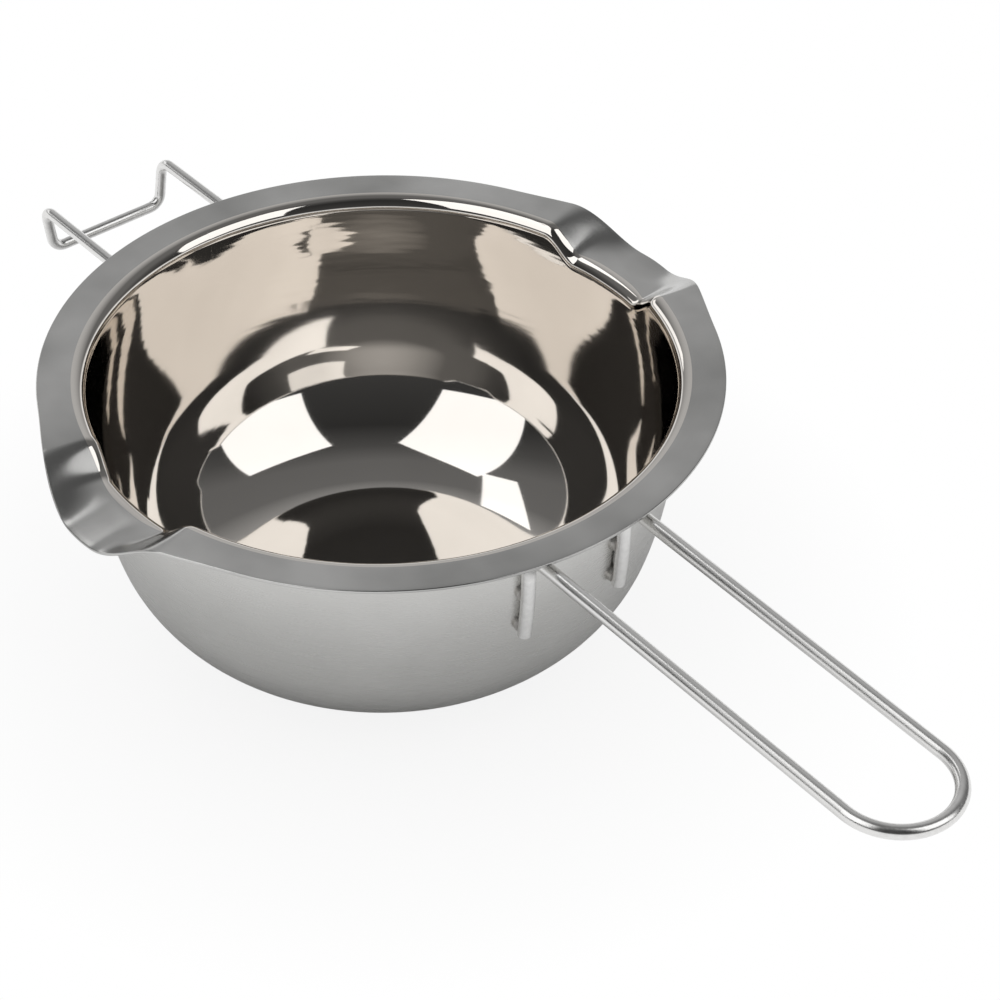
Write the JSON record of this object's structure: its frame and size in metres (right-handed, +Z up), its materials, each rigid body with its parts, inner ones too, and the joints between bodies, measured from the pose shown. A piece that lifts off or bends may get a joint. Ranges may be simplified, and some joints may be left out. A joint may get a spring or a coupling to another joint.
{
  "type": "chocolate melting pot",
  "caption": "Round steel melting pot with a flat rim, opposite pouring spouts, a welded wire loop handle and a bent wire rest that hangs on a pan's edge.",
  "frame": {"origin": "centre of the flat base, on the surface the pot stands on", "axes": "+X along the loop handle, +Z up out of the bowl, the pouring spouts at +Y and -Y"},
  "size_m": [0.2735, 0.1546, 0.0625],
  "materials": {
    "bowl_steel": "mirror polished inside, fine circular brushing outside",
    "wire_steel": "satin polished",
    "weld_steel": "dull, slightly tinted by heat"
  },
  "bodies": {
    "root": {"bowl": "bowl_steel", "handle_wire": "wire_steel", "rest_wire": "wire_steel", "handle_weld_left_upper": "weld_steel", "handle_weld_left_lower": "weld_steel", "handle_weld_right_upper": "weld_steel", "handle_weld_right_lower": "weld_steel", "rest_weld_left_upper": "weld_steel", "rest_weld_left_lower": "weld_steel", "rest_weld_right_upper": "weld_steel", "rest_weld_right_lower": "weld_steel"}
  },
  "joints": []
}
